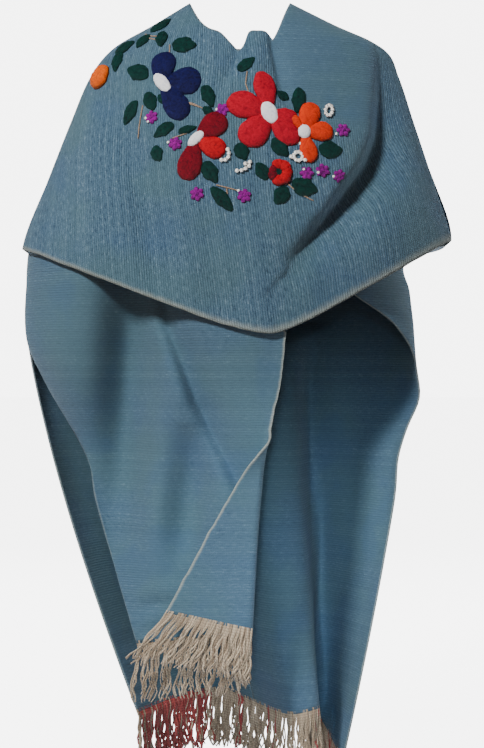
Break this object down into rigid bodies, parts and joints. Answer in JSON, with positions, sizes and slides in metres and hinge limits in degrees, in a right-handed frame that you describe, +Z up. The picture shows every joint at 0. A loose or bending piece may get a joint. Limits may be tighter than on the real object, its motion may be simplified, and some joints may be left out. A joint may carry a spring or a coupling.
{
  "type": "worn wool ruana",
  "caption": "Open wool ruana in its worn form, one front thrown across the chest over the far shoulder, with warp fringe and raised felt flowers.",
  "frame": {"origin": "where the garment rests on the shoulders, midway between the two neck points", "axes": "+Z up, the front faces -Y, +X is the viewer's right of the front"},
  "size_m": [0.6234, 0.3338, 1.1938],
  "materials": {
    "cloth": "ribbed weft-faced wool, soft nap",
    "fringe": "natural wool yarn",
    "felt_navy": "felted wool",
    "felt_wine": "felted wool",
    "felt_crimson": "felted wool",
    "felt_orange": "felted wool",
    "felt_amber": "felted wool",
    "felt_white": "felted wool",
    "felt_leaf": "felted wool",
    "felt_violet": "felted wool",
    "bead": "glazed bead"
  },
  "bodies": {
    "root": {"front_wrap": "cloth", "front_panel_upper": "cloth", "front_panel_lower": "cloth", "back_right": "cloth", "back_left_upper": "cloth", "back_left_lower": "cloth", "thrown_end": "cloth", "fringe_front_under": "fringe", "fringe_front_flap": "fringe", "fringe_back_right": "fringe", "fringe_back_left": "fringe", "fringe_thrown": "fringe", "flower_navy": "felt_navy", "flower_wine": "felt_wine", "flower_crimson": "felt_crimson", "flower_orange": "felt_orange", "flower_rose": "felt_crimson", "flower_bud": "felt_amber", "centre_navy": "felt_white", "centre_wine": "felt_white", "centre_crimson": "felt_white", "centre_orange": "felt_white", "leaf_01": "felt_leaf", "leaf_02": "felt_leaf", "leaf_03": "felt_leaf", "leaf_04": "felt_leaf", "leaf_05": "felt_leaf", "leaf_06": "felt_leaf", "leaf_07": "felt_leaf", "leaf_08": "felt_leaf", "leaf_09": "felt_leaf", "leaf_10": "felt_leaf", "leaf_11": "felt_leaf", "leaf_12": "felt_leaf", "leaf_13": "felt_leaf", "leaf_14": "felt_leaf", "leaf_15": "felt_leaf", "leaf_16": "felt_leaf", "leaf_17": "felt_leaf", "leaf_18": "felt_leaf", "leaf_19": "felt_leaf", "leaf_20": "felt_leaf", "leaf_21": "felt_leaf", "leaf_22": "felt_leaf", "leaf_23": "felt_leaf", "leaf_24": "felt_leaf", "star_1": "felt_violet", "star_2": "felt_violet", "star_3": "felt_violet", "star_4": "felt_violet", "star_5": "felt_violet", "star_6": "felt_violet", "star_7": "felt_violet", "star_8": "felt_violet", "star_9": "felt_violet", "ring_1": "bead", "ring_2": "bead", "ring_3": "bead", "ring_4": "bead"}
  },
  "joints": []
}
